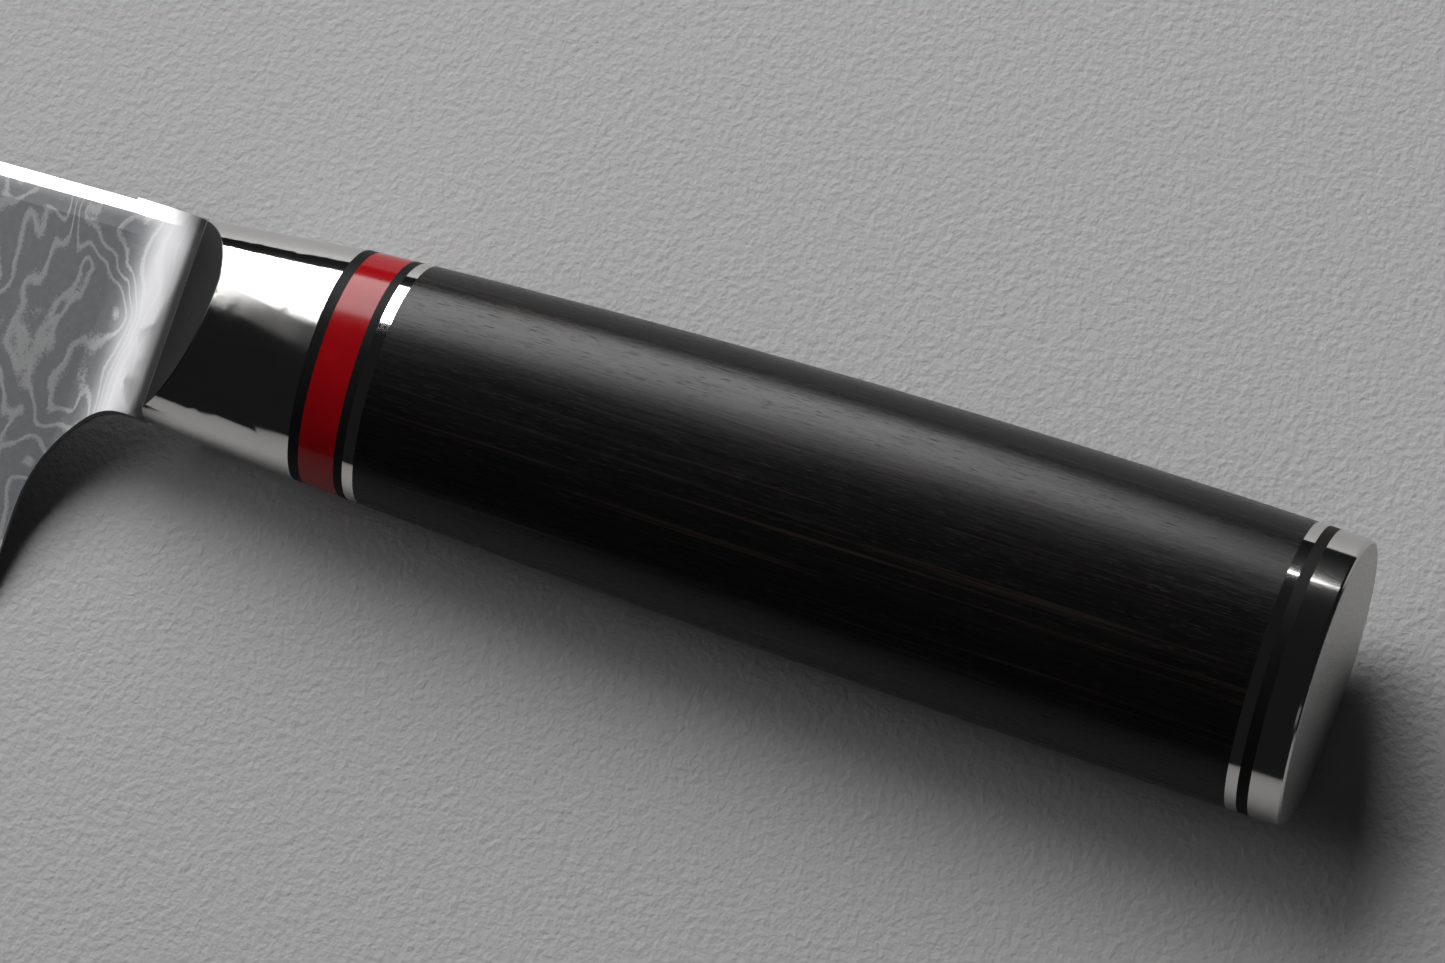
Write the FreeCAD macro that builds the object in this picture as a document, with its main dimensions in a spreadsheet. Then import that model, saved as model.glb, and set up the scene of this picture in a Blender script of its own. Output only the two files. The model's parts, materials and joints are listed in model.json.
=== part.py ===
import FreeCAD, Part
import math
import os
import Sketcher
from FreeCAD import Placement, Rotation, Vector

# Chef knife with a laminated blade, a welded steel bolster, a stack of coloured spacers and a
# wooden grip on a hidden tang. It is modelled straight, then laid on its right side to rest.
# While it is modelled, X runs along the handle from the weld line between blade and bolster
# to the butt, Y points to the spine, and Z is the thickness, with the blade in the middle.

os.makedirs("parts", exist_ok=True)
doc = FreeCAD.newDocument("chef_knife")

# Driving dimensions in millimetres and degrees.
driving = {
    # Blade, reached ahead of the weld line and above or below the handle's axis.
    "blade_reach": 205.0,
    "heel_reach": 10.6,
    "heel_drop": 35.5,
    "spine_height": 10.5,
    "spine_fall": 0.031,
    "point_curve_start": 108.0,
    "point_drop": 9.7,
    "spine_thickness": 2.1,
    "edge_thickness": 0.34,
    "side_taper": 0.0016,
    "bevel_angle": 13.0,
    "spine_easing": 0.28,
    "crown_width": 3.4,
    "crown_depth": 0.25,
    "back_width": 1.4,
    "back_depth": 0.63,
    "core_thickness": 0.6,
    "core_point_thickness": 0.76,
    # Choil, and the flare where the blade thickens towards the bolster.
    "choil_radius": 16.6,
    "choil_centre_drop": 24.25,
    "choil_blend": 5.0,
    "flare_reach": 9.0,
    "weld_thickness": 6.4,
    "flare_bite": 0.002,
    # Bolster and the stack behind it, as lengths along the handle.
    "bolster_length": 17.2,
    "nose_angle": 46.5,
    "front_black_length": 1.2,
    "red_length": 4.0,
    "middle_black_length": 1.0,
    "front_washer_length": 1.2,
    "grip_length": 95.0,
    "rear_washer_length": 1.2,
    "rear_black_length": 1.2,
    "cap_length": 3.4,
    "cap_rounding": 0.45,
    # Handle section at the weld line, behind the bolster and at the butt.
    "nose_top": 10.5,
    "nose_bottom": 11.5,
    "nose_width": 16.8,
    "nose_widest_share": 0.27,
    "neck_top": 12.5,
    "neck_bottom": 12.47,
    "neck_width": 19.3,
    "butt_top": 14.87,
    "butt_bottom": 14.87,
    "butt_width": 24.0,
    "back_swell": 1.18,
    "belly_swell": 0.56,
    "widest_share": 0.42,
    # Hidden tang, its rod, and the bore that they are bedded in.
    "tang_height": 12.0,
    "tang_shoulder": 40.0,
    "tongue_height": 5.0,
    "tongue_start": 46.0,
    "tang_length": 58.0,
    "rod_diameter": 5.0,
    "grip_bore": 13.0,
    "boss_diameter": 9.0,
    "boss_length": 12.0,
    "socket_floor": 3.7,
    # The pose in which the knife comes to rest on its side.
    "rest_roll": 13.34,
    "rest_pitch": 1.215,
}
sheet = doc.addObject("Spreadsheet::Sheet", "sizes")
for row, (alias, value) in enumerate(driving.items(), start=1):
    sheet.set(f"A{row}", alias)
    sheet.set(f"B{row}", str(value))
    sheet.setAlias(f"B{row}", alias)
doc.recompute()

HELPER_REACH = 60.0  # helper solids reach this far past the knife's section


def size(alias):
    return float(sheet.get(alias))


def bound(formula):
    """A formula whose words are the sheet's aliases, as an expression of the document."""
    return " ".join("sizes." + word if word in driving else word for word in formula.split())


def bind(thing, **formulas):
    for prop, formula in formulas.items():
        thing.setExpression(prop.replace("__", "."), bound(formula))


def new_body(name):
    body = doc.addObject("PartDesign::Body", name)
    body.Label = name
    return body


def sketch_on(body, role, offset="0"):
    """A sketch on one of the body's own origin planes, moved along that plane's normal."""
    sketch = body.newObject("Sketcher::SketchObject", body.Name + "_sketch")
    plane = next(f for f in body.Origin.OriginFeatures if f.Role == role)
    sketch.AttachmentSupport = [(plane, "")]
    sketch.MapMode = "FlatFace"
    sketch.setExpression("AttachmentOffset.Base.z", bound(offset))
    return sketch


def pin(sketch, geo, pos, across=None, along=None):
    """Bind a vertex's distances from the sketch's origin to formulas."""
    vertex = sketch.getPoint(geo, pos)
    for kind, guess, formula in (("DistanceX", vertex.x, across), ("DistanceY", vertex.y, along)):
        if formula is not None:
            index = sketch.addConstraint(Sketcher.Constraint(kind, -1, 1, geo, pos, guess))
            sketch.setExpression(f"Constraints[{index}]", bound(formula))


def polygon(sketch, corners):
    """A closed outline of straight lines; each corner is a pair of formulas."""
    count = len(corners)
    rough = [(10 * math.cos(2 * math.pi * i / count), 10 * math.sin(2 * math.pi * i / count))
             for i in range(count)]
    for i in range(count):
        ends = [Vector(*rough[i], 0), Vector(*rough[(i + 1) % count], 0)]
        sketch.addGeometry(Part.LineSegment(*ends), False)
    for i in range(count):
        sketch.addConstraint(Sketcher.Constraint("Coincident", i, 2, (i + 1) % count, 1))
    for i, (across, along) in enumerate(corners):
        pin(sketch, i, 1, across, along)


def pad(body, sketch, length, middle=True, direction=None):
    feature = body.newObject("PartDesign::Pad", body.Name + "_pad")
    feature.Profile = sketch
    if middle:
        feature.SideType = "Symmetric"
    if direction is not None:
        feature.UseCustomVector = True
        feature.Direction = direction
        feature.AlongSketchNormal = False
    bind(feature, Length=length)
    return feature


def loft(body, sketches):
    """Straight bands from each section to the next, which keeps the facets few."""
    feature = body.newObject("PartDesign::AdditiveLoft", body.Name + "_loft")
    feature.Profile = sketches[0]
    feature.Sections = sketches[1:]
    feature.Ruled = True


def combine(kind, name, base, tool):
    """A cut or a common of two objects."""
    result = doc.addObject("Part::" + kind, name)
    result.Base = base
    result.Tool = tool
    return result


def fuse(name, *shapes):
    result = doc.addObject("Part::MultiFuse", name)
    result.Shapes = list(shapes)
    result.Refine = True
    return result


def rod_along_handle(name, diameter, start, length):
    """A cylinder on the handle's axis."""
    cylinder = doc.addObject("Part::Cylinder", name)
    cylinder.Placement = Placement(Vector(), Rotation(Vector(0, 1, 0), 90))
    bind(cylinder, Radius=diameter + " / 2", Height=length, Placement__Base__x=start)
    return cylinder


def slice_along_handle(name, start, length):
    """A block that takes one length of the handle."""
    block = doc.addObject("Part::Box", name)
    block.Placement = Placement(Vector(0, -HELPER_REACH / 2, -HELPER_REACH / 2), Rotation())
    block.Width = HELPER_REACH
    block.Height = HELPER_REACH
    bind(block, Length=length, Placement__Base__x=start)
    return block


# ---------------------------------------------------------------- handle form
# The bolster, rings, grip and cap are glued in a stack and ground flush together, so one form
# is lofted through egg-shaped sections and every piece is a slice of it. Each section is two
# half ellipses that meet at its widest line, which lies nearer the spine.

NECK = "bolster_length"
STACK_FRONT = ("bolster_length + front_black_length + red_length + middle_black_length"
               " + front_washer_length")
CAP_FACE = f"{STACK_FRONT} + grip_length + rear_washer_length + rear_black_length"
BUTT = f"( {CAP_FACE} + cap_length )"


def egg_section(body, station, top, bottom, width, share="widest_share", wide_back=False):
    """A section whose upper half ellipse takes a share of its height. An ellipse's long axis
    is its first one in a sketch, and it lies across the handle where the back is wide."""
    sketch = sketch_on(body, "YZ_Plane", station)
    long, short = size("butt_top"), size("neck_width") / 2  # a first guess for the solver
    tall = Part.Ellipse(Vector(long, 0, 0), Vector(0, short, 0), Vector(0, 0, 0))
    wide = Part.Ellipse(Vector(0, long, 0), Vector(-short, 0, 0), Vector(0, 0, 0))
    back = (wide, math.pi) if wide_back else (tall, -math.pi / 2)
    for form, start in (back, (tall, math.pi / 2)):
        sketch.addGeometry(Part.ArcOfEllipse(form, start, start + math.pi), False)
    widest = f"{top} - {share} * ( {top} + {bottom} )"
    for half, sign, reach in ((0, 1, top), (1, -1, f"-1 * {bottom}")):
        long_axis, short_axis = sketch.GeometryCount, sketch.GeometryCount + 1
        sketch.exposeInternalGeometry(half)
        upright, across = long_axis, short_axis
        if wide_back and half == 0:
            upright, across = short_axis, long_axis
        for end in (1, 2):
            sketch.addConstraint(Sketcher.Constraint("PointOnObject", upright, end, -1))
            sketch.addConstraint(Sketcher.Constraint("PointOnObject", half, end, across))
        outer = max((1, 2), key=lambda end: sketch.getPoint(across, end).y)
        pin(sketch, across, outer, widest, f"{width} / 2")
        tip = max((1, 2), key=lambda end: sign * sketch.getPoint(upright, end).x)
        pin(sketch, upright, tip, across=reach)
    return sketch


def blend(start, end, share, swell="0"):
    """A formula that runs from one size to another, with an even swell between them."""
    crown = 4 * share * (1 - share)
    return f"( {start} + ( {end} - {start} ) * {share:.6f} + {swell} * {crown:.6f} )"


handle_form = new_body("handle_form")
sections = []
NOSE_STEPS = 4  # even steps from the weld line to the bolster's rear face
for share in (i / NOSE_STEPS for i in range(NOSE_STEPS)):
    sections.append(egg_section(handle_form, blend("0", NECK, share),
                                blend("nose_top", "neck_top", share),
                                blend("nose_bottom", "neck_bottom", share),
                                blend("nose_width", "neck_width", share),
                                blend("nose_widest_share", "widest_share", share),
                                wide_back=True))
GRIP_STEPS = 8  # even steps from the bolster's rear face to the rim of the butt
for share in (i / GRIP_STEPS for i in range(GRIP_STEPS + 1)):
    sections.append(egg_section(handle_form, blend(NECK, f"( {BUTT} - cap_rounding )", share),
                                blend("neck_top", "butt_top", share, "back_swell"),
                                blend("neck_bottom", "butt_bottom", share, "belly_swell"),
                                blend("neck_width", "butt_width", share)))
RIM_STEPS = 3  # steps of the quarter round at the rim of the butt
for turn in (math.pi / 2 * i / RIM_STEPS for i in range(1, RIM_STEPS + 1)):
    inset = f"cap_rounding * {1 - math.cos(turn):.6f}"
    sections.append(egg_section(handle_form, f"{BUTT} - cap_rounding * {1 - math.sin(turn):.6f}",
                                f"( butt_top - {inset} )", f"( butt_bottom - {inset} )",
                                f"( butt_width - 2 * {inset} )"))
loft(handle_form, sections)

# ---------------------------------------------------------------- blade
# Flat laminated stock is cut to the outline and ground flat on both sides, so that it thins
# from spine to edge and from heel to point. Its back is eased and crowned by two narrow flats
# on each side, and it is honed to an edge whose two bevels follow one long arc.


def arc(centre, radius, start, end):
    circle = Part.Circle(Vector(*centre, 0), Vector(0, 0, 1), radius)
    return Part.ArcOfCircle(circle, start, end)


OVERRUN = 2.0  # the stock runs this far past the point before the edge is honed
stock = new_body("stock")
sketch = sketch_on(stock, "XY_Plane")
curve_start = Vector(-size("point_curve_start"), size("spine_height"), 0)
point = Vector(-size("blade_reach"), -size("point_drop"), 0)
past_point = point + Vector(-OVERRUN, -OVERRUN, 0)
sketch.addGeometry(Part.LineSegment(Vector(0, curve_start.y, 0), curve_start), False)
sketch.addGeometry(Part.Arc(curve_start, (curve_start + point) / 2 + Vector(-OVERRUN, OVERRUN, 0),
                            past_point), False)
below = Vector(past_point.x, -HELPER_REACH, 0)
sketch.addGeometry(Part.LineSegment(past_point, below), False)
sketch.addGeometry(Part.LineSegment(below, Vector(0, -HELPER_REACH, 0)), False)
sketch.addGeometry(Part.LineSegment(Vector(0, -HELPER_REACH, 0), Vector(0, curve_start.y, 0)), False)
sketch.addGeometry(Part.Point(point), True)
arc_ends = sorted((1, 2), key=lambda end: -sketch.getPoint(1, end).x)
sketch.addConstraint(Sketcher.Constraint("Tangent", 0, 2, 1, arc_ends[0]))
sketch.addConstraint(Sketcher.Constraint("Coincident", 1, arc_ends[1], 2, 1))
sketch.addConstraint(Sketcher.Constraint("Coincident", 2, 2, 3, 1))
sketch.addConstraint(Sketcher.Constraint("Coincident", 3, 2, 4, 1))
sketch.addConstraint(Sketcher.Constraint("Coincident", 4, 2, 0, 1))
sketch.addConstraint(Sketcher.Constraint("PointOnObject", 5, 1, 1))
sketch.addConstraint(Sketcher.Constraint("Vertical", 2))
pin(sketch, 5, 1, "-1 * blade_reach", "-1 * point_drop")
pin(sketch, 0, 1, "0", "spine_height")
pin(sketch, 0, 2, "-1 * point_curve_start", "spine_height - spine_fall * point_curve_start")
pin(sketch, 1, arc_ends[1], across=f"-1 * blade_reach - {OVERRUN}")
pin(sketch, 3, 1, along=f"-1 * {HELPER_REACH}")
pin(sketch, 3, 2, "0", f"-1 * {HELPER_REACH}")
pad(stock, sketch, "weld_thickness")

THINNING = "( ( spine_thickness - edge_thickness ) / 2 / ( spine_height + heel_drop ) )"


def half_thickness(height):
    """Half of the blade's thickness at the weld line, at a height above the axis."""
    return f"( spine_thickness / 2 - ( spine_height - {height} ) * {THINNING} )"


def flat_grind(name, side, depth, slope, fall, taper):
    """All that lies inside one flat on one side. The flat takes a depth off the side of the
    spine and slopes outward below it, and towards the point it falls and closes in."""
    body = new_body(name)
    sketch = sketch_on(body, "YZ_Plane")
    inside = f"{-side * HELPER_REACH}"
    high, low = f"{HELPER_REACH}", f"( -1 * {HELPER_REACH} )"
    outer = [f"{side} * ( spine_thickness / 2 - {depth} + ( spine_height - {height} ) * {slope} )"
             for height in (high, low)]
    polygon(sketch, [(high, outer[0]), (high, inside), (low, inside), (low, outer[1])])
    feature = pad(body, sketch, "blade_reach + heel_reach", middle=False,
                  direction=Vector(-1, 0, 0))
    bind(feature, Direction__y=f"-1 * {fall}", Direction__z=f"{-side} * {taper}")
    return body


def grind(solid, flat, *shape):
    """The same flat ground on both sides."""
    for hand, side in (("left", 1), ("right", -1)):
        solid = combine("Common", f"{hand}_{flat}_ground", solid,
                        flat_grind(f"{hand}_{flat}", side, *shape))
    return solid


ground_flat = grind(stock, "side", "0", f"( -1 * {THINNING} )", "0", "side_taper")
doc.recompute()
eased = doc.addObject("Part::Chamfer", "eased")
eased.Base = ground_flat
LONG_EDGE = size("blade_reach") / 3  # only the straight and the curved spine are longer
STOCK_LOW = -size("point_drop") - 2 * OVERRUN  # the stock's lower edges reach below this
spine_edges = [i for i, edge in enumerate(ground_flat.Shape.Edges, start=1)
               if edge.Length > LONG_EDGE and edge.BoundBox.YMin > STOCK_LOW]
eased.Edges = [(i, size("spine_easing"), size("spine_easing")) for i in spine_edges]

# The crown's flats follow the spine's straight stretch and run out where it curves down.
CROWN_SLOPE = f"( crown_depth / crown_width - {THINNING} )"
BEND = "( crown_depth * ( 1 - back_width / crown_width ) )"  # depth where the two flats meet
BACK_SLOPE = f"( ( back_depth - {BEND} ) / back_width - {THINNING} )"
CLOSING = f"( side_taper + spine_fall * {THINNING} )"
crowned = grind(eased, "crown", "crown_depth", CROWN_SLOPE, "spine_fall", CLOSING)
crowned = grind(crowned, "back", "back_depth", BACK_SLOPE, "spine_fall", CLOSING)

EDGE_RADIUS = ("( ( ( blade_reach - heel_reach ) ^ 2 + ( heel_drop - point_drop ) ^ 2 )"
               " / ( 2 * ( heel_drop - point_drop ) ) )")
hones = []
for name, turned in (("left_hone", 0), ("right_hone", 180)):
    hone = doc.addObject("Part::Cone", name)
    hone.Placement = Placement(Vector(), Rotation(Vector(0, 1, 0), turned))
    hone.Radius2 = 0
    bind(hone, Radius1=EDGE_RADIUS, Height=f"{EDGE_RADIUS} * tan( bevel_angle )",
         Placement__Base__x="-1 * heel_reach", Placement__Base__y=f"{EDGE_RADIUS} - heel_drop")
    hones.append(hone)
blade_wedge = combine("Common", "blade_wedge", crowned, fuse("hone", *hones))

# ---------------------------------------------------------------- flare and choil
# Towards the bolster both sides sweep out in a hollow curve. It is drawn at four heights, so
# that it starts just inside the blade's own sides and crown, and its top is round like the
# bolster's.


def flare_section(body, height, depth="0"):
    """The flare's plan at a height, where the crown takes a depth off the blade's side."""
    sketch = sketch_on(body, "XZ_Plane", f"-1 * {height}")
    side = f"{half_thickness(height)} - side_taper * flare_reach - flare_bite - {depth}"
    reach, rise = size("flare_reach"), (size("weld_thickness") - size("spine_thickness")) / 2
    radius = (reach ** 2 + rise ** 2) / (2 * rise)
    low = size("spine_thickness") / 2
    turn = math.asin(reach / radius)
    sketch.addGeometry(arc((-reach, low + radius), radius, -math.pi / 2, turn - math.pi / 2), False)
    sketch.addGeometry(arc((-reach, -low - radius), radius, math.pi / 2 - turn, math.pi / 2), False)
    ends = [Vector(0, size("weld_thickness") / 2, 0), Vector(0, -size("weld_thickness") / 2, 0)]
    sketch.addGeometry(Part.LineSegment(*ends), False)
    sketch.addGeometry(Part.LineSegment(Vector(-reach, -low, 0), Vector(-reach, low, 0)), False)
    for one, one_end, other, other_end in ((0, 2, 2, 1), (2, 2, 1, 1), (1, 2, 3, 1), (3, 2, 0, 1)):
        sketch.addConstraint(Sketcher.Constraint("Coincident", one, one_end, other, other_end))
    pin(sketch, 0, 1, "-1 * flare_reach", side)
    pin(sketch, 0, 2, "0", "weld_thickness / 2")
    pin(sketch, 0, 3, across="-1 * flare_reach")
    pin(sketch, 1, 2, "-1 * flare_reach", f"-1 * ( {side} )")
    pin(sketch, 1, 1, "0", "-1 * weld_thickness / 2")
    pin(sketch, 1, 3, across="-1 * flare_reach")
    return sketch


FLARE_SPINE = "( spine_height - spine_fall * flare_reach )"  # the spine where the flare starts
FLARE_CROWN = f"( {BEND} + ( back_depth - {BEND} ) * ( 1 + ( nose_top - {FLARE_SPINE} ) / back_width ) )"
flare_block = new_body("flare_block")
loft(flare_block, [flare_section(flare_block, "nose_top", FLARE_CROWN),
                   flare_section(flare_block, f"( {FLARE_SPINE} - back_width )", BEND),
                   flare_section(flare_block, f"( {FLARE_SPINE} - crown_width )"),
                   flare_section(flare_block, "( -1 * choil_centre_drop )")])

CHEEK = "( weld_thickness / 2 + flare_bite )"  # half the width of the outlines that trim it
NOSE_DEPTH = "( nose_top + nose_bottom )"


def arched_outline(sketch, top, share, far):
    """A flat-sided outline from an end of the nose's egg section, whose end curve has the
    radius of its half ellipse there, to a straight end."""
    sign = 1 if top == "nose_top" else -1
    tip, spread = sign * size(top), sign * size("weld_thickness") / 2
    radius = f"( ( nose_width / 2 ) ^ 2 / ( {share} * {NOSE_DEPTH} ) )"
    guess = size("nose_width") / 2
    turn = math.asin(abs(spread) / guess)
    facing = 0 if sign > 0 else math.pi
    sketch.addGeometry(arc((tip - sign * guess, 0), guess, facing - turn, facing + turn), False)
    corners = [Vector(tip, spread, 0), Vector(-tip, spread, 0), Vector(-tip, -spread, 0),
               Vector(tip, -spread, 0)]
    for start, end in zip(corners, corners[1:]):
        sketch.addGeometry(Part.LineSegment(start, end), False)
    for one, one_end, other, other_end in ((0, 2, 1, 1), (1, 2, 2, 1), (2, 2, 3, 1), (3, 2, 0, 1)):
        sketch.addConstraint(Sketcher.Constraint("Coincident", one, one_end, other, other_end))
    pin(sketch, 0, 3, f"{sign} * ( {top} - {radius} )", "0")
    pin(sketch, 0, 2, along=f"{sign} * {CHEEK}")
    pin(sketch, 0, 1, along=f"{-sign} * {CHEEK}")
    pin(sketch, 2, 1, far, f"{sign} * {CHEEK}")
    pin(sketch, 2, 2, far, f"{-sign} * {CHEEK}")
    index = sketch.addConstraint(Sketcher.Constraint("Radius", 0, guess))
    sketch.setExpression(f"Constraints[{index}]", bound(radius))


crown_block = new_body("crown_block")
sketch = sketch_on(crown_block, "YZ_Plane", "-1 * flare_reach - bolster_length")
arched_outline(sketch, "nose_top", "nose_widest_share", "-1 * heel_drop")
pad(crown_block, sketch, "flare_reach + bolster_length", middle=False)

# The underside keeps the bolster's round belly for a moment, then sharpens to the flat choil.
keel_block = new_body("keel_block")
sketch = sketch_on(keel_block, "YZ_Plane")
arched_outline(sketch, "nose_bottom", "( 1 - nose_widest_share )", "-1 * choil_centre_drop")
KEEL_SLOPE = Vector(-2, -1, 0)  # forward and down, the way the round belly runs out
pad(keel_block, sketch, "choil_blend", middle=False, direction=KEEL_SLOPE)

# The choil falls from the bolster's underside in a small curve, then a large one, and ends in
# an upright heel.
choil_block = new_body("choil_block")
sketch = sketch_on(choil_block, "XY_Plane")
belly, drop, heel = -size("nose_bottom"), -size("choil_centre_drop"), -size("heel_reach")
large, small = size("choil_radius"), size("choil_blend")
large_centre = (heel + large, drop)
rise = belly - small - drop
small_centre = (large_centre[0] - math.sqrt((large - small) ** 2 - rise ** 2), belly - small)
turn = math.pi - math.asin(rise / (large - small))
below, behind = -HELPER_REACH, small
sketch.addGeometry(Part.LineSegment(Vector(behind, belly, 0),
                                    Vector(small_centre[0], belly, 0)), False)
sketch.addGeometry(arc(small_centre, small, math.pi / 2, turn), False)
sketch.addGeometry(arc(large_centre, large, turn, math.pi), False)
sketch.addGeometry(Part.LineSegment(Vector(heel, drop, 0), Vector(heel, below, 0)), False)
sketch.addGeometry(Part.LineSegment(Vector(heel, below, 0), Vector(behind, below, 0)), False)
sketch.addGeometry(Part.LineSegment(Vector(behind, below, 0), Vector(behind, belly, 0)), False)
sketch.addConstraint(Sketcher.Constraint("Tangent", 0, 2, 1, 1))
sketch.addConstraint(Sketcher.Constraint("Tangent", 1, 2, 2, 1))
sketch.addConstraint(Sketcher.Constraint("Tangent", 2, 2, 3, 1))
sketch.addConstraint(Sketcher.Constraint("Coincident", 3, 2, 4, 1))
sketch.addConstraint(Sketcher.Constraint("Coincident", 4, 2, 5, 1))
sketch.addConstraint(Sketcher.Constraint("Coincident", 5, 2, 0, 1))
sketch.addConstraint(Sketcher.Constraint("Horizontal", 0))
sketch.addConstraint(Sketcher.Constraint("Vertical", 3))
for element, alias in ((1, "choil_blend"), (2, "choil_radius")):
    index = sketch.addConstraint(Sketcher.Constraint("Radius", element, size(alias)))
    sketch.setExpression(f"Constraints[{index}]", bound(alias))
pin(sketch, 2, 3, along="-1 * choil_centre_drop")
pin(sketch, 3, 2, "-1 * heel_reach", f"{below}")
pin(sketch, 5, 1, "choil_blend", f"{below}")
pin(sketch, 0, 1, "choil_blend", "-1 * nose_bottom")
pad(choil_block, sketch, f"{HELPER_REACH}")

# The tang is left full thickness behind the weld line; it narrows to a tongue for the rod.
tang_form = new_body("tang_form")
sketch = sketch_on(tang_form, "XY_Plane")
outline = [("0", "tang_height"), ("tang_shoulder", "tang_height"),
           ("tongue_start", "tongue_height"), ("tang_length", "tongue_height")]
polygon(sketch, [(along, f"{height} / 2") for along, height in outline]
        + [(along, f"-1 * {height} / 2") for along, height in reversed(outline)])
pad(tang_form, sketch, "spine_thickness")

flare = combine("Common", "flare", flare_block, crown_block)
blank = fuse("blank", blade_wedge, flare)
heeled = combine("Cut", "heeled", blank, choil_block)
ground = combine("Cut", "ground", heeled, keel_block)
blade_form = fuse("blade_form", ground, tang_form)

# ---------------------------------------------------------------- laminated steel
# A hard core runs through the middle from the point to the tongue. Softer pattern-welded
# cladding is forged to both of its sides, and grinding bares the core along the edge.


def core_corners(side):
    """The core's face on one side, from the tongue to past the point, as sketch corners."""
    past_point = "-1 * ( blade_reach + heel_reach )"
    half, thin = f"{side} * core_thickness / 2", f"{side} * core_point_thickness / 2"
    return [("tang_length + heel_reach", half), ("-1 * heel_reach", half), (past_point, thin)]


core_slab = new_body("core_slab")
sketch = sketch_on(core_slab, "XZ_Plane")
polygon(sketch, core_corners(1) + core_corners(-1)[::-1])
pad(core_slab, sketch, f"{2 * HELPER_REACH}")
blade_core = combine("Common", "blade_core", blade_form, core_slab)

claddings = []
for name, side in (("cladding_left", 1), ("cladding_right", -1)):
    sheet_form = new_body(name + "_sheet")
    sketch = sketch_on(sheet_form, "XZ_Plane")
    far = f"{side} * weld_thickness"
    polygon(sketch, core_corners(side) + [("-1 * ( blade_reach + heel_reach )", far),
                                          ("tang_length + heel_reach", far)])
    pad(sheet_form, sketch, f"{2 * HELPER_REACH}")
    claddings.append(combine("Common", name, blade_form, sheet_form))

# ---------------------------------------------------------------- bolster
# A solid steel block, ground to the handle's form, whose front slopes down to the thickness
# of the flare on both sides. The slopes leave a crescent edge. The blade is welded to it.
nose_block = new_body("nose_block")
sketch = sketch_on(nose_block, "XZ_Plane")
wide = "( weld_thickness / 2 + bolster_length * tan( nose_angle ) )"
polygon(sketch, [("0", "weld_thickness / 2"), (NECK, wide),
                 (NECK, f"-1 * {wide}"), ("0", "-1 * weld_thickness / 2")])
pad(nose_block, sketch, f"{HELPER_REACH}")
bolster_form = combine("Common", "bolster_form", handle_form, nose_block)
bolster = combine("Cut", "bolster", bolster_form, tang_form)

# ---------------------------------------------------------------- rod and cap boss
# A threaded rod is forked over the tongue and brazed to it. The cap screws onto its far end
# with a socket inside a boss, which pulls the whole stack tight.
rod_length = f"{CAP_FACE} + cap_length - socket_floor - tongue_start"
rod_form = rod_along_handle("rod_form", "rod_diameter", "tongue_start", rod_length)
tang_rod = combine("Cut", "tang_rod", rod_form, tang_form)
boss_form = rod_along_handle("boss_form", "boss_diameter", f"{CAP_FACE} - boss_length",
                             "boss_length")
bore_form = rod_along_handle("bore_form", "grip_bore", STACK_FRONT, "grip_length")

# ---------------------------------------------------------------- rings and grip
# Resin and steel rings with a slot for the tang in front, a bored grip, and rings with a hole
# for the boss behind.
nodes = [blade_core, *claddings, bolster, tang_rod]
start = "bolster_length"
stack = (("front_black_spacer", "front_black_length", tang_form),
         ("red_spacer", "red_length", tang_form),
         ("middle_black_spacer", "middle_black_length", tang_form),
         ("front_steel_washer", "front_washer_length", tang_form),
         ("handle_grip", "grip_length", bore_form),
         ("rear_steel_washer", "rear_washer_length", boss_form),
         ("rear_black_spacer", "rear_black_length", boss_form))
for name, length, opening in stack:
    block = slice_along_handle(name + "_slice", start, length)
    blank_ring = combine("Common", name + "_blank", handle_form, block)
    nodes.append(combine("Cut", name, blank_ring, opening))
    start = f"{start} + {length}"

# ---------------------------------------------------------------- end cap
# A polished steel cap with a rounded rim, a boss on its inner face, and in the boss a blind
# socket for the rod.
cap_slice = slice_along_handle("cap_slice", start, "cap_length")
cap_blank = combine("Common", "cap_blank", handle_form, cap_slice)
cap_solid = fuse("cap_solid", cap_blank, boss_form)
nodes.append(combine("Cut", "end_cap", cap_solid, rod_form))

# ---------------------------------------------------------------- bedding
# Cured epoxy fills the grip's bore around the tang, the rod and the boss.
bedded = fuse("bedded", tang_form, rod_form, boss_form)
nodes.append(combine("Cut", "epoxy_bedding", bore_form, bedded))

# ---------------------------------------------------------------- rest pose and export
# The knife rests on its right side: it rolls and dips until the edge and the thick end of the
# handle touch what it lies on. Every piece gets the same placement.
doc.recompute()
tilt = Rotation(Vector(0, 1, 0), -size("rest_pitch")) * Rotation(Vector(1, 0, 0), size("rest_roll"))
whole = Part.Compound([node.Shape for node in nodes])
turned = whole.copy()
turned.Placement = Placement(Vector(), tilt)
box = turned.optimalBoundingBox(False)
rest = Placement(Vector(-box.Center.x, -box.Center.y, -box.ZMin), tilt)
for node in nodes:
    node.Label = node.Name
    node.Placement = rest
doc.recompute()

for thing in doc.Objects:
    if "Invalid" in thing.State or "Error" in thing.State:
        raise RuntimeError(f"{thing.Name} did not build: {thing.State}")
for node in nodes:
    shape = node.Shape
    if shape.isNull() or not shape.isValid() or len(shape.Solids) != 1:
        raise RuntimeError(f"{node.Name} is not one valid solid")
for node in nodes:
    node.Shape.exportStep(f"parts/{node.Label}.step")
    print(node.Label, round(node.Shape.Volume, 2), node.Shape.BoundBox)
print("rest placement", rest)
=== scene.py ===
import bpy
import json
import math
from mathutils import Matrix, Vector

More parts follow.
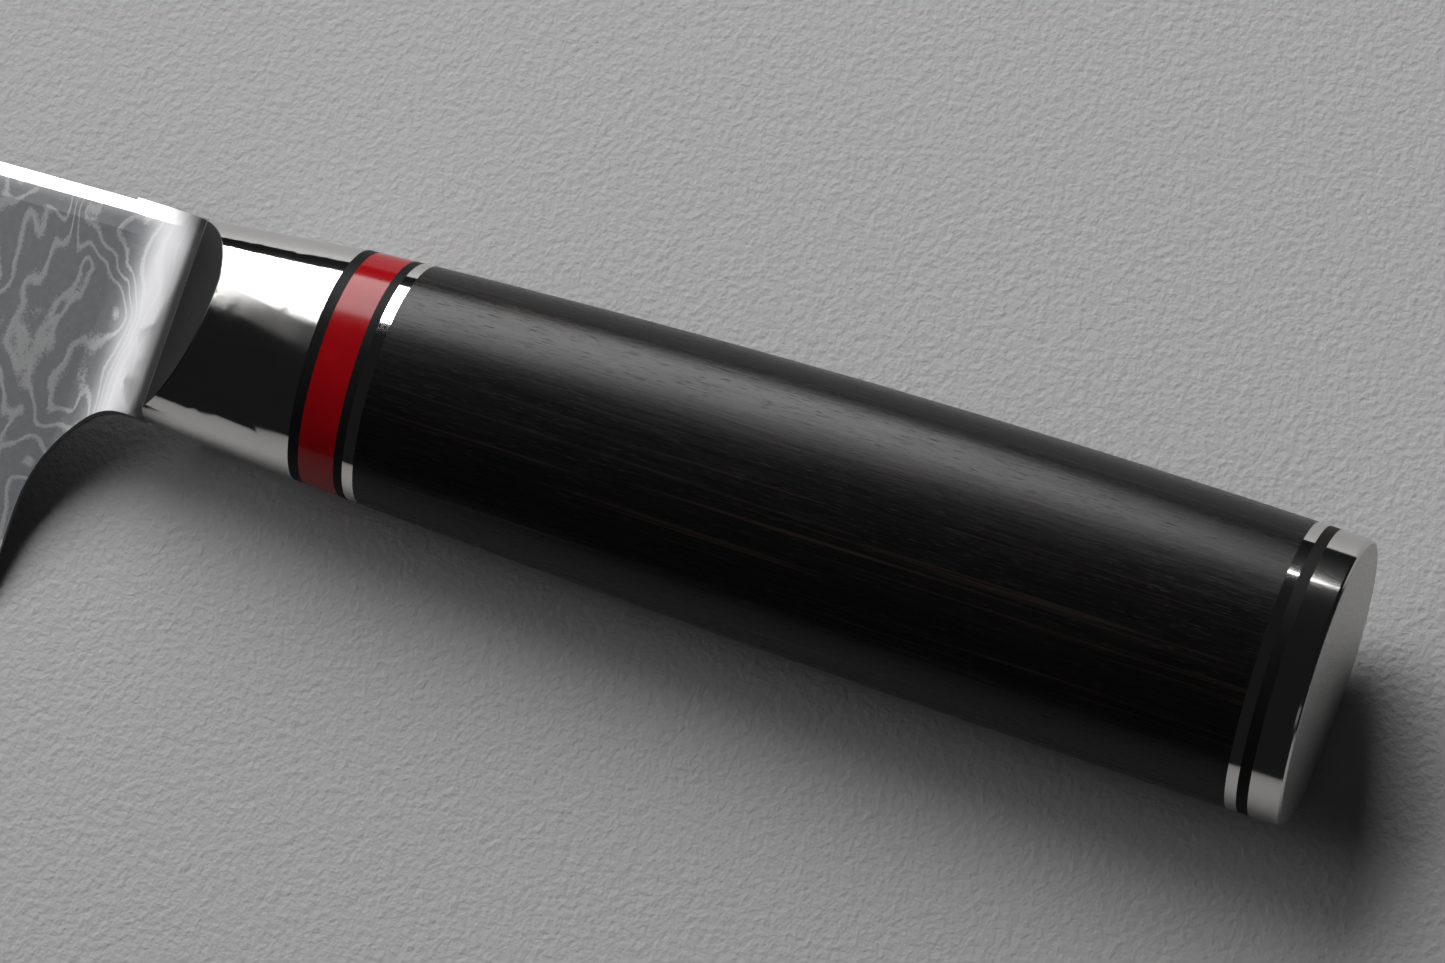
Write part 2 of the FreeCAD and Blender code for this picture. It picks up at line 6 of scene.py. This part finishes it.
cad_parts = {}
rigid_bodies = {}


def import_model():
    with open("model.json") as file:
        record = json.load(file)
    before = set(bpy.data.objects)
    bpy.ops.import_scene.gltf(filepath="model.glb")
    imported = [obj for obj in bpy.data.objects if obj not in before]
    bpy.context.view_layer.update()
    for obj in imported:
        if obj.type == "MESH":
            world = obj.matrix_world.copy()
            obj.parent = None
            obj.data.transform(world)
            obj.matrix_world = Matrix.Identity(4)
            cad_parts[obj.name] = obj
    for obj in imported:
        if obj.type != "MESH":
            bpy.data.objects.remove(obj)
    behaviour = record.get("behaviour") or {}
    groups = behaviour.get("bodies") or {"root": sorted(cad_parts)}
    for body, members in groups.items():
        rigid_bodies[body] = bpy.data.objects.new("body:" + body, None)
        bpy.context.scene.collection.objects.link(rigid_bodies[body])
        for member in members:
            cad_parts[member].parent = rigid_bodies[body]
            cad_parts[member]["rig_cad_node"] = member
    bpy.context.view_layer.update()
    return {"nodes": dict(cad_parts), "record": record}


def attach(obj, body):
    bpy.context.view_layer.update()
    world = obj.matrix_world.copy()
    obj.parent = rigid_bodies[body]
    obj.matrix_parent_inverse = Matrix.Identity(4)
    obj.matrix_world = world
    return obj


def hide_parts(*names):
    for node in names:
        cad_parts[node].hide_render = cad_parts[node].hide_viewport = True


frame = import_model()

# ---------------------------------------------------------------- how the knife lies
# The knife lies on its right side, tipped a little towards its edge and its point, so that it
# rests on its edge and along its handle. Its own axes run along the handle to the butt, up to
# the spine, and out of the left side of the blade.
EDGE_DOWN = math.radians(13.34)
POINT_DOWN = math.radians(1.215)
HANDLE_LENGTH = 0.1254
MILLIMETRE = 0.001
lie = Matrix.Rotation(-POINT_DOWN, 3, "Y") @ Matrix.Rotation(EDGE_DOWN, 3, "X")
mounts = {mount["name"]: mount for mount in frame["record"]["mounts"]}
butt = Vector(mounts["butt_face"]["pos_m"])
weld = butt - lie @ Vector((HANDLE_LENGTH, 0, 0))


def on_knife(along, up, out):
    """A point given in the knife's own axes, from the middle of the weld line."""
    return weld + lie @ Vector((along, up, out))


# ---------------------------------------------------------------- camera
# A long lens above the handle, a little to the butt and the edge side of it. The handle runs
# down to the right of the picture, and most of the blade is outside it.
LENS, SENSOR_WIDTH = 147.8, 36.0
eye = on_knife(0.2105, -0.0463, 0.5796)
aim = on_knife(0.0603, 0.0008, 0.0)
picture_up = lie @ Vector((-0.2945, 0.9433, 0.1529))
ahead = (aim - eye).normalized()
side = ahead.cross(picture_up).normalized()
turned = Matrix((side, side.cross(ahead), -ahead)).transposed()
bpy.ops.object.camera_add()
camera = bpy.context.object
camera.matrix_world = Matrix.Translation(eye) @ turned.to_4x4()
camera.data.lens = LENS
camera.data.sensor_width = SENSOR_WIDTH
bpy.context.scene.camera = camera

# ---------------------------------------------------------------- table and light
# A plain pale table in a dim room. A tall soft window stands off the spine, with a pale wall
# beside it towards the point, and both shine back as one long band from the bolster, the flare
# and the grip. A weak fill stands opposite.
TABLE_WIDTH = 4.0
bpy.ops.object.select_all(action="DESELECT")
bpy.ops.mesh.primitive_plane_add(size=TABLE_WIDTH, location=(0, 0, 0))
table = bpy.context.object
table.name = "table"


class Level:
    """A number that varies over a surface. Arithmetic on it adds Math nodes."""

    def __init__(self, finish, socket):
        self.finish = finish
        self.socket = socket

    def maths(self, operation, *values):
        return self.finish.node("Math", {"operation": operation}, dict(enumerate(values)))

    def __add__(self, other):
        return self.maths("ADD", self, other)

    def __sub__(self, other):
        return self.maths("SUBTRACT", self, other)

    def __rsub__(self, other):
        return self.maths("SUBTRACT", other, self)

    def __mul__(self, other):
        return self.maths("MULTIPLY", self, other)

    def __abs__(self):
        return self.maths("ABSOLUTE", self)

    __radd__ = __add__
    __rmul__ = __mul__

    def wrapped(self):
        """The part after the decimal point, so that the level counts over and over from 0 to 1."""
        return self.maths("FRACT", self)

    def rising(self, start, end):
        """0 below start and 1 above end, smooth in between."""
        return self.finish.node("MapRange", {"interpolation_type": "SMOOTHSTEP"},
                                {"Value": self, "From Min": start, "From Max": end})


OBJECT_COORDINATES = 3  # outlet of the Texture Coordinate node
MIX_FACTOR, MIX_FIRST, MIX_SECOND = 0, 6, 7  # inlets of the Mix node when it mixes colours
MIXED_COLOUR = 2  # its outlet


class Finish:
    """One material, as a small graph of nodes that works in the knife's own axes."""

    def __init__(self, name):
        self.material = bpy.data.materials.new(name)
        self.material.use_nodes = True
        self.tree = self.material.node_tree
        self.surface = self.tree.nodes["Principled BSDF"]
        self.own = self.knife_axes()

    def node(self, kind, settings=None, sockets=None, out=0):
        made = self.tree.nodes.new("ShaderNode" + kind)
        for name, value in (settings or {}).items():
            setattr(made, name, value)
        for name, value in (sockets or {}).items():
            self.feed(made.inputs[name], value)
        return Level(self, made.outputs[out])

    def feed(self, socket, value):
        if isinstance(value, Level):
            self.tree.links.new(value.socket, socket)
        elif socket.type == "RGBA":
            socket.default_value = (*value, 1.0)
        else:
            socket.default_value = value

    def knife_axes(self):
        """Places on the knife in millimetres, along its own axes from the weld line."""
        place = self.node("TexCoord", out=OBJECT_COORDINATES)
        return self.node("Mapping", {"vector_type": "TEXTURE"}, {
            "Vector": place, "Location": weld, "Rotation": lie.to_euler(),
            "Scale": (MILLIMETRE, MILLIMETRE, MILLIMETRE)})

    def axis(self, name):
        parts = self.node("SeparateXYZ", sockets={0: self.own})
        return Level(self, parts.socket.node.outputs[name])

    def stretched(self, along, up, out):
        """Places on the knife, counted in features of a pattern for each millimetre."""
        return self.node("VectorMath", {"operation": "MULTIPLY"}, {0: self.own, 1: (along, up, out)})

    def noise(self, vector, detail=2.0, roughness=0.5, distortion=0.0, seed=0.0):
        return self.node("TexNoise", {"noise_dimensions": "4D"}, {
            "Vector": vector, "W": seed, "Scale": 1.0, "Detail": detail, "Roughness": roughness,
            "Distortion": distortion})

    def mixed(self, share, first, second):
        """One colour turning into another."""
        return self.node("Mix", {"data_type": "RGBA"}, {
            MIX_FACTOR: share, MIX_FIRST: first, MIX_SECOND: second}, out=MIXED_COLOUR)

    def relief(self, height, depth):
        """A bump whose height runs from 0 to 1 over a depth in metres."""
        return self.node("Bump", {}, {"Height": height, "Distance": depth, "Strength": 1.0})

    def shade(self, **sockets):
        for name, value in sockets.items():
            self.feed(self.surface.inputs[name.replace("_", " ")], value)

    def give(self, *nodes):
        for name in nodes:
            frame["nodes"][name].material_slots[0].material = self.material


TABLE_DIPS, TABLE_BUMPS = (0.345, 0.342, 0.345), (0.385, 0.382, 0.385)
table_top = Finish("pale_table")
grain = table_top.noise(table_top.stretched(1.3, 1.3, 1.3), detail=3.0)
table_top.shade(Base_Color=table_top.mixed(grain, TABLE_DIPS, TABLE_BUMPS),
                Roughness=0.7,
                Normal=table_top.relief(grain, depth=0.00022))
table.data.materials.append(table_top.material)


def soft_light(name, bearing, distance, sideways, low, high, width, power):
    """An upright lamp on a wall square to a bearing from the knife, which shines back at it.

    The bearing is in degrees from the knife's length, and the other measures are in metres.
    """
    turn = math.radians(bearing)
    outward = Vector((math.cos(turn), math.sin(turn), 0))
    along = Vector((-math.sin(turn), math.cos(turn), 0))
    place = weld + outward * distance + along * sideways + Vector((0, 0, (low + high) / 2))
    bpy.ops.object.light_add(type="AREA", location=place,
                             rotation=(math.pi / 2, 0, turn + math.pi / 2))
    light = bpy.context.object
    light.name = name
    light.visible_camera = False
    light.data.shape = "RECTANGLE"
    light.data.size = width
    light.data.size_y = high - low
    light.data.energy = power


WALL_BEARING, WALL_DISTANCE, SILL_HEIGHT = 160, 0.62, 0.30
soft_light("window", WALL_BEARING, WALL_DISTANCE, sideways=-0.605, low=SILL_HEIGHT, high=1.20,
           width=0.99, power=25.0)
soft_light("pale_wall", WALL_BEARING, WALL_DISTANCE, sideways=0.295, low=SILL_HEIGHT, high=1.34,
           width=0.81, power=4.7)
soft_light("fill", bearing=-35, distance=1.2, sideways=0.0, low=0.3, high=1.3,
           width=1.2, power=0.5)
ROOM_COLOUR = (0.010, 0.010, 0.0105, 1)
room = bpy.data.worlds.new("room")
room.use_nodes = True
room.node_tree.nodes["Background"].inputs["Color"].default_value = ROOM_COLOUR
bpy.context.scene.world = room
bpy.context.scene.view_settings.view_transform = "Standard"

# ---------------------------------------------------------------- blade cladding
# Soft pattern-welded steel, forged to both sides of the hard core. Grinding cuts through its
# folded layers, and the etch turns one steel dark grey and leaves the other light. The flare
# and the crown along the spine are polished after the etch, which fades the pattern there.
MERGE_DISTANCE = 0.000002
CREASE = math.radians(9)  # faces that meet at more than this keep their edge
FULL_WEIGHT = 100


def ground_smooth(node, name, finish):
    """A copy of a node whose facets are merged, so that light runs smoothly over its curves."""
    bpy.ops.object.select_all(action="DESELECT")
    solid = frame["nodes"][node]
    solid.select_set(True)
    bpy.context.view_layer.objects.active = solid
    bpy.ops.object.duplicate()
    surface = bpy.context.object
    surface.name = name
    del surface["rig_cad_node"]
    bpy.ops.object.mode_set(mode="EDIT")
    bpy.ops.mesh.select_all(action="SELECT")
    bpy.ops.mesh.remove_doubles(threshold=MERGE_DISTANCE)
    bpy.ops.object.mode_set(mode="OBJECT")
    bpy.ops.mesh.customdata_custom_splitnormals_clear()
    bpy.ops.object.shade_smooth_by_angle(angle=CREASE)
    weighted = surface.modifiers.new("even_light", "WEIGHTED_NORMAL")
    weighted.keep_sharp = True
    weighted.weight = FULL_WEIGHT
    bpy.ops.object.modifier_apply(modifier=weighted.name)
    surface.material_slots[0].material = finish.material
    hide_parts(node)
    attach(surface, "root")


# Millimetres on the knife: along it from the weld line, or up from its axis.
FLARE_START, FLARE_POLISHED = -7.5, -4.0
# The corner measures mark where the polished flare fades into a painted reflection of the dark room.
CORNER_START, CORNER_PAINTED_FULL = -1.5, -0.5
SPINE, SPINE_FALL = 10.5, 0.031
CROWN_POLISHED, CROWN_END = 0.4, 2.6
# Folded layers that are cut through: all over, towards the point, and for each millimetre in.
FOLDED_LAYERS, LAYERS_ALONG, LAYERS_DEEP, LAYER_FUZZ = 8.5, 0.2, 2.4, 0.45
LAYER_MIDDLE, LAYER_EDGE = 0.04, 0.21
DARKEST_ETCH, DARK_ETCH = (0.145, 0.148, 0.156), (0.235, 0.239, 0.247)
LIGHT_ETCH = (0.42, 0.42, 0.424)
POLISHED_DARK, POLISHED_LIGHT = (0.48, 0.48, 0.49), (0.54, 0.535, 0.525)
PAINTED_CORNER_REFLECTION = (0.10, 0.097, 0.10)  # painted reflection: the last millimetre before the bolster is painted dark, in place of the dark room that the polished flare mirrors there
ETCHED_CONTRAST, POLISHED_CONTRAST, LAYER_HEIGHT = 0.8, 0.5, 0.5
ETCHED_ROUGHNESS, LAYER_SMOOTHER, POLISH_SMOOTHER = 0.40, 0.05, 0.11
cladding = Finish("etched_cladding")
along, up = cladding.axis("X"), cladding.axis("Y")
across = cladding.noise(cladding.stretched(0.11, 0.08, 0.4), detail=2.0, distortion=0.5)
fuzz = cladding.noise(cladding.stretched(3.4, 3.4, 3.4), detail=4.0, roughness=0.6)
deep = abs(cladding.axis("Z"))
folds = across * FOLDED_LAYERS + along * LAYERS_ALONG + deep * LAYERS_DEEP + fuzz * LAYER_FUZZ
light_layer = 1 - abs(folds.wrapped() - 0.5).rising(LAYER_MIDDLE, LAYER_EDGE)
below_spine = SPINE + along * SPINE_FALL - up
before_flare = 1 - along.rising(FLARE_START, FLARE_POLISHED)
unpolished = before_flare * below_spine.rising(CROWN_POLISHED, CROWN_END)
polish = 1 - unpolished
tone = cladding.noise(cladding.stretched(1.2, 1.2, 1.2), detail=4.0, roughness=0.7, seed=3.0)
dark_layer = cladding.mixed(tone, DARKEST_ETCH, DARK_ETCH)
etched = cladding.mixed(light_layer * ETCHED_CONTRAST, dark_layer, LIGHT_ETCH)
bright = cladding.mixed(light_layer * POLISHED_CONTRAST, POLISHED_DARK, POLISHED_LIGHT)
# painted reflection: the polished flare turns to a dark painted tone in its last millimetre before
# the bolster
bright_and_painted_corner = cladding.mixed(along.rising(CORNER_START, CORNER_PAINTED_FULL), bright, PAINTED_CORNER_REFLECTION)
cladding.shade(Base_Color=cladding.mixed(polish, etched, bright_and_painted_corner),
               Metallic=0.9,
               Roughness=(ETCHED_ROUGHNESS - light_layer * LAYER_SMOOTHER * unpolished
                          - polish * POLISH_SMOOTHER),
               Normal=cladding.relief((light_layer * LAYER_HEIGHT + fuzz) * unpolished,
                                      depth=0.000008))
ground_smooth("cladding_left", "left_cladding_surface", cladding)
ground_smooth("cladding_right", "right_cladding_surface", cladding)

# ---------------------------------------------------------------- blade core
# Hard steel, bared by grinding along the edge and finished with a fine satin brushing that
# runs from spine to edge.
SCRATCHED_CORE, CLEAN_CORE = (0.52, 0.52, 0.51), (0.66, 0.66, 0.65)
CORE_ROUGHNESS, BRUSHING_ROUGHER = 0.24, 0.14
core = Finish("satin_core")
brushing = core.noise(core.stretched(9.0, 0.35, 9.0), detail=4.0)
core.shade(Base_Color=core.mixed(brushing, SCRATCHED_CORE, CLEAN_CORE),
           Metallic=1.0,
           Roughness=CORE_ROUGHNESS + brushing * BRUSHING_ROUGHER,
           Normal=core.relief(brushing, depth=0.000006))
core.give("blade_core")

# ---------------------------------------------------------------- polished steel
# The bolster is one solid steel block that is welded to the blade, and the two washers are stamped
# steel rings. All are polished with the handle, almost to a mirror. The bolster's two front slopes
# are painted almost black, a painted reflection of the dark room that they would mirror, and a thin
# painted glint, paler than that dark, runs along the weld.
HALF_WELD, SLOPE = 3.2, math.tan(math.radians(46.5))
SLOPE_SURE, SLOPE_OVER = 0.06, 0.20  # millimetres off the plane of the slope
SEAM_START, SEAM_END = 0.12, 0.28  # millimetres from the weld line
HAZED_STEEL, CLEAR_STEEL = (0.70, 0.69, 0.67), (0.76, 0.75, 0.73)
# painted reflection: the slopes are painted near black, and a thin strip by the weld a paler grey as
# a painted glint
PAINTED_SLOPE_REFLECTION, PAINTED_SEAM_GLINT = (0.055, 0.055, 0.057), (0.27, 0.27, 0.27)
MIRROR_ROUGHNESS, HAZE_ROUGHER, SLOPE_ROUGHER = 0.04, 0.04, 0.22
polished = Finish("polished_steel")
haze = polished.noise(polished.stretched(0.25, 0.25, 0.25), detail=3.0, seed=5.0)
above_slope = abs(polished.axis("Z")) - polished.axis("X") * SLOPE - HALF_WELD
on_slope = 1 - abs(above_slope).rising(SLOPE_SURE, SLOPE_OVER)
on_painted_glint = 1 - polished.axis("X").rising(SEAM_START, SEAM_END)
mirror = polished.mixed(haze, HAZED_STEEL, CLEAR_STEEL)
# painted reflection on the slopes, with a painted glint along the weld
painted_slope_and_glint = polished.mixed(on_painted_glint, PAINTED_SLOPE_REFLECTION, PAINTED_SEAM_GLINT)
polished.shade(Base_Color=polished.mixed(on_slope, mirror, painted_slope_and_glint),
               Metallic=1.0,
               Roughness=MIRROR_ROUGHNESS + haze * HAZE_ROUGHER + on_slope * SLOPE_ROUGHER)
ground_smooth("bolster", "bolster_surface", polished)
polished.give("front_steel_washer", "rear_steel_washer")

# ---------------------------------------------------------------- black spacers
# Thin rings of black fibre-filled resin, glued between the others and sanded flush, so they
# keep a satin face with fine scratches around the handle.
DEEP_BLACK, SCRATCHED_BLACK = (0.002, 0.002, 0.002), (0.010, 0.010, 0.010)
BLACK_ROUGHNESS, SCRATCH_ROUGHER = 0.30, 0.3
black = Finish("black_spacer")
scratches = black.noise(black.stretched(12.0, 0.6, 0.6), detail=3.0)
black.shade(Base_Color=black.mixed(scratches, DEEP_BLACK, SCRATCHED_BLACK),
            Specular_IOR_Level=0.08,
            Roughness=BLACK_ROUGHNESS + scratches * SCRATCH_ROUGHER,
            Normal=black.relief(scratches, depth=0.000005))
black.give("front_black_spacer", "middle_black_spacer", "rear_black_spacer")

# ---------------------------------------------------------------- red spacer
# One thicker ring of deep red resin, cut from cast sheet and polished to a gloss. Its colour
# is cloudy inside.
DEEP_RED, CLOUDED_RED = (0.22, 0.002, 0.004), (0.34, 0.004, 0.008)
RED_ROUGHNESS, SWIRL_ROUGHER = 0.10, 0.05
red = Finish("red_resin")
cloud = red.noise(red.stretched(0.35, 0.35, 0.35), detail=3.0)
swirl = red.noise(red.stretched(3.0, 0.5, 0.5), detail=2.0)
red.shade(Base_Color=red.mixed(cloud, DEEP_RED, CLOUDED_RED),
          Specular_IOR_Level=0.24,
          Roughness=RED_ROUGHNESS + swirl * SWIRL_ROUGHER,
          Normal=red.relief(swirl, depth=0.000002))
red.give("red_spacer")

# ---------------------------------------------------------------- grip
# Thin beech veneers, dyed black, pressed with resin and turned along the grain. Rubbing with
# oil leaves a satin sheen in which the pores and the thin brown veneer lines show.
PORE_START, PORE_FULL = 0.60, 0.72
VENEER_START, VENEER_FULL = 0.56, 0.72
DARK_FIBRE, LIGHT_FIBRE = (0.0012, 0.0012, 0.0013), (0.0070, 0.0064, 0.0062)
BROWN_VENEER, PORE_BLACK = (0.034, 0.022, 0.018), (0.001, 0.001, 0.001)
OILED_ROUGHNESS, FIBRE_ROUGHER, BAND_ROUGHER, PORE_ROUGHER = 0.08, 0.26, 0.12, 0.35
wood = Finish("black_wood")
fibre = wood.noise(wood.stretched(0.12, 2.6, 2.6), detail=5.0, roughness=0.75)
band = wood.noise(wood.stretched(0.03, 0.55, 0.55), detail=3.0, seed=4.0)
pore_field = wood.noise(wood.stretched(0.5, 9.0, 9.0), detail=1.0, seed=2.0)
pores = pore_field.rising(PORE_START, PORE_FULL)
veneer_field = wood.noise(wood.stretched(0.018, 2.2, 0.5), detail=3.0, seed=7.0)
veneer = veneer_field.rising(VENEER_START, VENEER_FULL)
dyed = wood.mixed(fibre, DARK_FIBRE, LIGHT_FIBRE)
streaked = wood.mixed(veneer * fibre, dyed, BROWN_VENEER)
wood.shade(Base_Color=wood.mixed(pores, streaked, PORE_BLACK),
           Specular_IOR_Level=0.23,
           Roughness=(OILED_ROUGHNESS + fibre * FIBRE_ROUGHER + band * BAND_ROUGHER
                      + pores * PORE_ROUGHER),
           Normal=wood.relief(fibre, depth=0.000017))
wood.give("handle_grip")

# ---------------------------------------------------------------- end cap
# A polished steel cap that screws onto the rod. Its flat butt is blasted and etched, which
# leaves it satin and slightly grainy inside the bright rim.
BUTT = HANDLE_LENGTH / MILLIMETRE
RIM_INSIDE, BUTT_SURE = 0.05, 0.01  # millimetres short of the butt's flat
HAZED_CAP, CLEAR_CAP = (0.66, 0.65, 0.63), (0.74, 0.73, 0.71)
ETCHED_PITS, ETCHED_PEAKS = (0.36, 0.355, 0.345), (0.80, 0.79, 0.77)
RIM_ROUGHNESS, BUTT_ROUGHER = 0.08, 0.30
cap = Finish("cap_steel")
cap_haze = cap.noise(cap.stretched(0.25, 0.25, 0.25), detail=3.0)
cap_grain = cap.noise(cap.stretched(2.2, 2.2, 2.2), detail=3.0, roughness=0.6)
on_butt = cap.axis("X").rising(BUTT - RIM_INSIDE, BUTT - BUTT_SURE)
cap_polish = cap.mixed(cap_haze, HAZED_CAP, CLEAR_CAP)
cap_etch = cap.mixed(cap_grain, ETCHED_PITS, ETCHED_PEAKS)
cap.shade(Base_Color=cap.mixed(on_butt, cap_polish, cap_etch),
          Metallic=1.0,
          Roughness=RIM_ROUGHNESS + on_butt * BUTT_ROUGHER,
          Normal=cap.relief(cap_grain * on_butt, depth=0.00016))
cap.give("end_cap")

# ---------------------------------------------------------------- rod
# A steel rod, forked over the tongue of the tang and screwed into the cap inside the grip. Its
# solid is a plain cylinder, so its thread is only in its finish, as fine rings of bump with painted
# shade in the roots and painted light on the crests.
THREAD_PITCH = 0.8
# painted light and shade: the thread's crests are painted lighter and its roots darker
THREAD_ROOT_PAINTED_SHADE, THREAD_CREST_PAINTED_LIGHT = (0.40, 0.40, 0.39), (0.56, 0.56, 0.55)
rod = Finish("rod_steel")
turns = rod.axis("X") * (2 * math.pi / THREAD_PITCH)
thread = turns.maths("SINE", turns)
rod.shade(Base_Color=rod.mixed(thread * 0.5 + 0.5, THREAD_ROOT_PAINTED_SHADE, THREAD_CREST_PAINTED_LIGHT),
          Metallic=1.0,
          Roughness=0.35,
          Normal=rod.relief(thread, depth=0.0001))
rod.give("tang_rod")

# ---------------------------------------------------------------- epoxy bedding
# Amber epoxy, poured into the bore of the grip around the tang, the rod and the boss of the
# cap. It cures hard, with fine bubbles in it.
CLOUDY_AMBER, CLEAR_AMBER = (0.50, 0.40, 0.24), (0.62, 0.54, 0.36)
EPOXY_ROUGHNESS, BUBBLE_ROUGHER = 0.22, 0.2
epoxy = Finish("cured_epoxy")
bubbles = epoxy.noise(epoxy.stretched(0.8, 0.8, 0.8), detail=4.0)
epoxy.shade(Base_Color=epoxy.mixed(bubbles, CLOUDY_AMBER, CLEAR_AMBER),
            Roughness=EPOXY_ROUGHNESS + bubbles * BUBBLE_ROUGHER,
            Normal=epoxy.relief(bubbles, depth=0.00002))
epoxy.give("epoxy_bedding")
